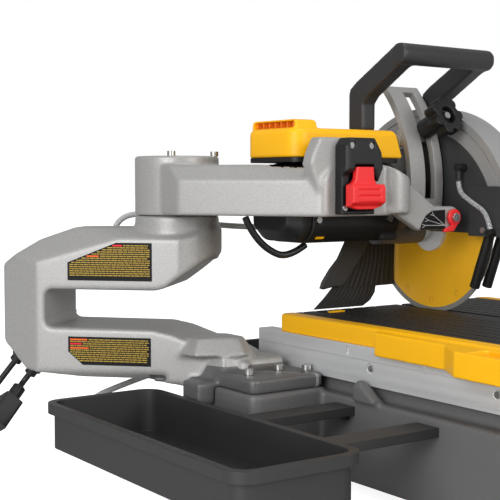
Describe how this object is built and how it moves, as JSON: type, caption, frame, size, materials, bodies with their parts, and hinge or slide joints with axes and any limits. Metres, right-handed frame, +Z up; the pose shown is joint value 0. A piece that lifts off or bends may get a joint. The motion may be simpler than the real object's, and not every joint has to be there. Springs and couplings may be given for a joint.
{
  "type": "masonry wet saw",
  "caption": "Bridge-type wet tile and masonry saw: cantilevered C-arm carrying a plunging motor head and guarded blade over a sliding rubber-topped cart and water pan.",
  "frame": {"origin": "centre of the base of the bounding box (without the mains cord, its coil and plug, and the pump lead), on the floor under the rubber feet", "axes": "+Z up; +Y away from the operator, along the cart's travel; +X to the operator's right, along the blade's arbor"},
  "size_m": [0.9805, 1.2765, 0.61],
  "materials": {
    "silver_casting": "cast, fine speckled satin paint",
    "dark_casting": "cast, satin grey paint",
    "yellow_plastic": "satin moulded plastic",
    "black_plastic": "matte moulded plastic",
    "grey_plastic": "matte moulded plastic",
    "rail_aluminium": "satin anodised",
    "guard_grey": "satin paint",
    "rubber": "matte rubber",
    "red_plastic": "satin moulded plastic",
    "steel": "zinc plated",
    "blade_paint": "yellow paint with a bare grey diamond rim",
    "clear_tube": "clear vinyl",
    "grey_tube": "translucent grey vinyl",
    "vent_orange": "moulded plastic",
    "label": null
  },
  "bodies": {
    "base": {"base_frame": "dark_casting", "rubber_feet": "rubber", "water_pan": "black_plastic", "drain_plug": "rubber", "water_pump": "black_plastic", "fixed_rails": "rail_aluminium", "pan_screws": "steel", "side_water_tray": "grey_plastic", "rear_water_tray": "grey_plastic", "c_arm": "silver_casting", "c_arm_rear_cover": "silver_casting", "socket_bolts": "steel", "arm_labels": "label", "upper_arm": "silver_casting", "plunge_shaft": "steel", "depth_quadrant": "silver_casting", "switch_box": "black_plastic", "flow_plate": "label", "cord_glands": "rubber", "power_cord": "rubber", "power_cord_coil": "rubber", "power_plug": "rubber", "pump_pigtail": "rubber", "supply_hose": "grey_tube"},
    "head": {"motor_housing": "black_plastic", "motor_end_bell": "black_plastic", "cover_band": "black_plastic", "motor_cover": "yellow_plastic", "vent_insert": "vent_orange", "motor_screws": "steel", "gear_case": "dark_casting", "guard_shell": "guard_grey", "guard_side_plates": "dark_casting", "guard_front_panel": "dark_casting", "carry_handle": "dark_casting", "knob_stud": "steel", "nozzle_pin": "steel", "hose_barb": "black_plastic", "clear_hose": "clear_tube", "splash_deflector": "grey_plastic", "rubber_flap": "rubber", "motor_lead": "rubber", "head_hose": "grey_tube"},
    "blade_set": {"spindle": "steel", "blade_flanges": "steel", "arbor_nut": "steel", "blade": "blade_paint"},
    "depth_knob": {"depth_knob": "black_plastic"},
    "switch_paddle": {"switch_paddle": "red_plastic"},
    "flow_lever": {"flow_lever": "red_plastic"},
    "nozzle_left": {"nozzle_left": "black_plastic"},
    "nozzle_right": {"nozzle_right": "black_plastic"},
    "cart": {"cart_plate": "rail_aluminium", "cart_mats": "rubber", "cart_sliders": "rail_aluminium", "glide_shoes": "black_plastic", "left_trim": "yellow_plastic", "right_trim": "yellow_plastic", "fence_bar": "rail_aluminium"},
    "edge_guide": {"edge_guide": "yellow_plastic"}
  },
  "joints": [
    {"name": "head_plunge", "type": "hinge", "parent": "base", "child": "head", "pos_m": [-0.013, 0.316, 0.415], "axis": [-1, 0, 0], "range_deg": [0, 13], "deforming": ["motor_lead", "head_hose"]},
    {"name": "blade_spin", "type": "hinge", "parent": "head", "child": "blade_set", "pos_m": [0.187, 0.156, 0.345], "axis": [1, 0, 0], "continuous": true},
    {"name": "knob_turn", "type": "hinge", "parent": "head", "child": "depth_knob", "pos_m": [0.1285, 0.07401, 0.51277], "axis": [0, -0.9272, 0.3746], "continuous": true},
    {"name": "paddle_lift", "type": "hinge", "parent": "base", "child": "switch_paddle", "pos_m": [-0.068, 0.021, 0.435], "axis": [-1, 0, 0], "range_deg": [0, 18]},
    {"name": "flow_select", "type": "hinge", "parent": "base", "child": "flow_lever", "pos_m": [0.1235, 0.046, 0.3685], "axis": [0, 1, 0], "range_deg": [0, 65]},
    {"name": "nozzle_left_swivel", "type": "hinge", "parent": "head", "child": "nozzle_left", "pos_m": [0.174, 0.021, 0.35], "axis": [1, 0, 0], "range_deg": [-12, 12]},
    {"name": "nozzle_right_swivel", "type": "hinge", "parent": "head", "child": "nozzle_right", "pos_m": [0.2, 0.021, 0.35], "axis": [1, 0, 0], "range_deg": [-12, 12]},
    {"name": "cart_slide", "type": "slide", "parent": "base", "child": "cart", "axis": [0, 1, 0], "range_m": [0, 0.5]},
    {"name": "guide_slide", "type": "slide", "parent": "cart", "child": "edge_guide", "axis": [1, 0, 0], "range_m": [-0.045, 0.075]}
  ]
}
